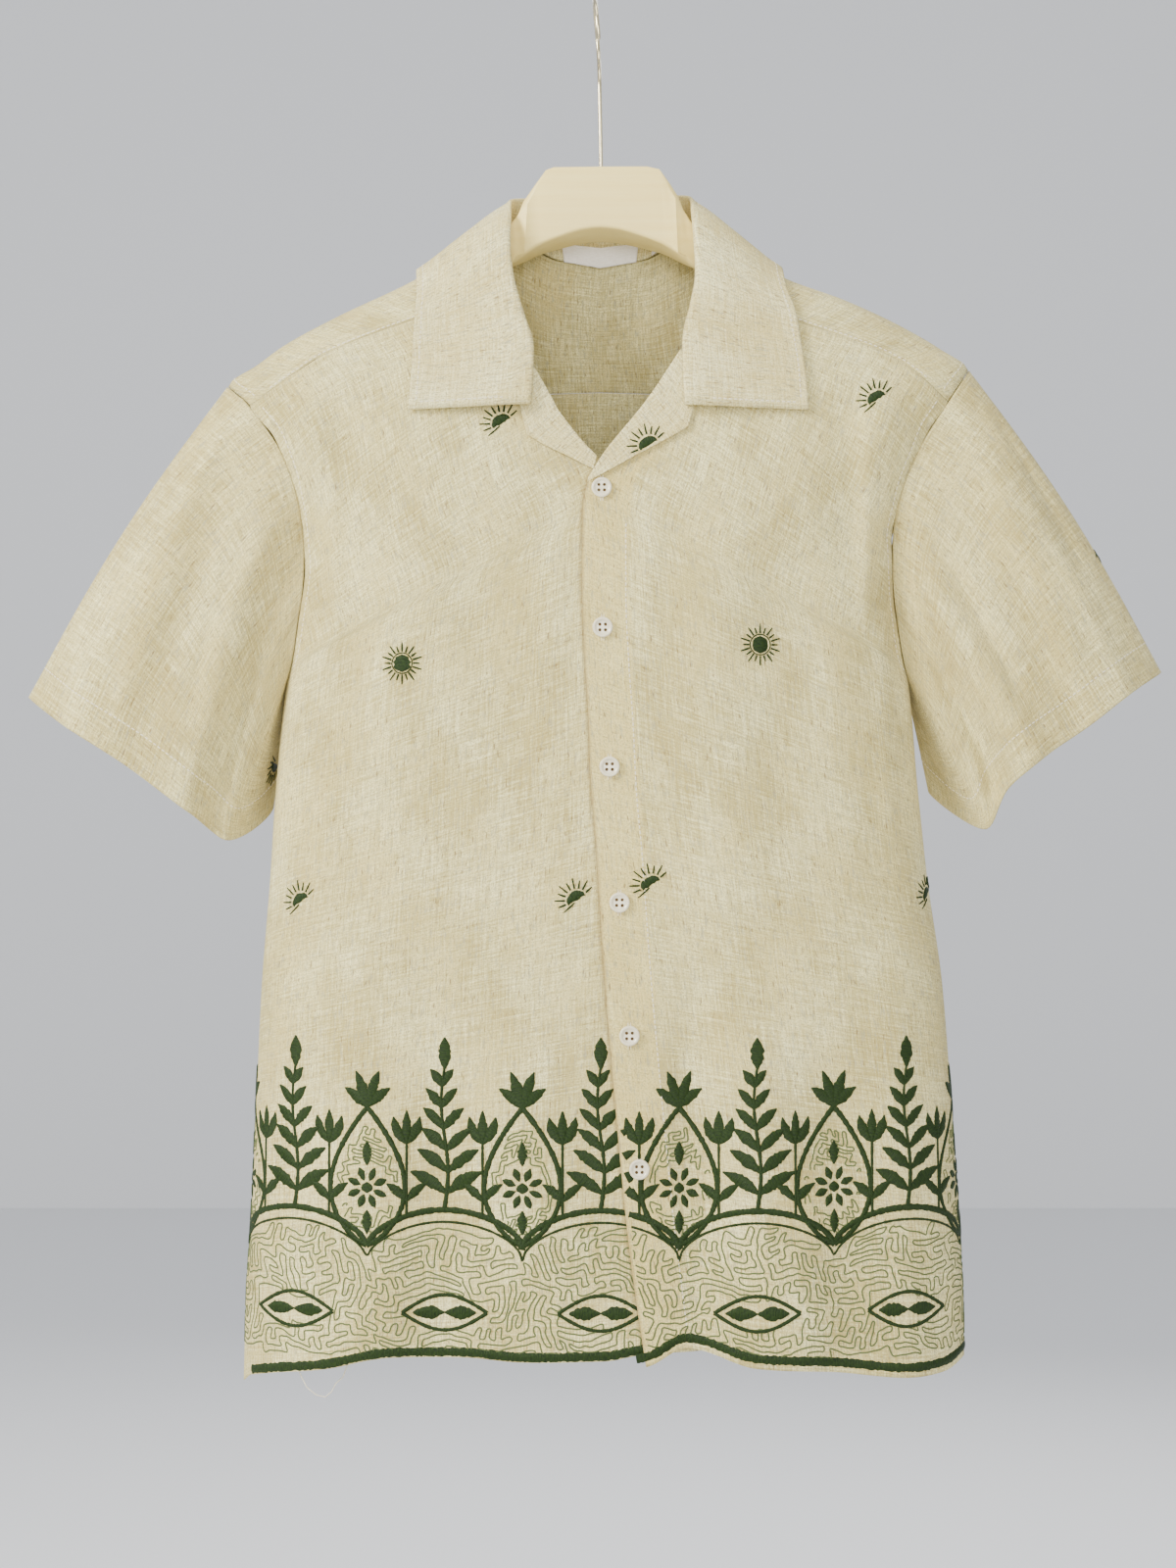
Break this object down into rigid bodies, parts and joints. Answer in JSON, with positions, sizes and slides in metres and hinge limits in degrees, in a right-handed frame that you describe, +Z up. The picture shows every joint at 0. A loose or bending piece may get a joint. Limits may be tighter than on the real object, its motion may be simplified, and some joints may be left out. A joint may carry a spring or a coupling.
{
  "type": "linen shirt on a wooden hanger",
  "caption": "Short-sleeved linen shirt with an open camp collar, buttoned up the front, hung on a pale wooden hanger with a wire hook.",
  "frame": {"origin": "the point inside the top of the hook that bears on a rail", "axes": "+Z up, front of the shirt faces -Y, +X is the viewer's right"},
  "size_m": [0.7322, 0.1473, 0.8917],
  "materials": {
    "linen": "slubbed linen, cream with dark flecks",
    "collar_linen": "the same linen, a little pinker",
    "button": "satin off-white",
    "label": "plain woven tape",
    "wood": "smooth pale wood",
    "brass": "polished pale brass wire"
  },
  "bodies": {
    "root": {"yoke": "linen", "front_left": "linen", "front_right": "linen", "sleeve_left": "linen", "sleeve_right": "linen", "lapel_left": "collar_linen", "lapel_right": "collar_linen", "back": "linen", "collar": "collar_linen", "neck_label": "label", "size_label": "label", "button_1": "button", "button_2": "button", "button_3": "button", "button_4": "button", "button_5": "button", "button_6": "button", "hanger": "wood", "hook": "brass"}
  },
  "joints": []
}
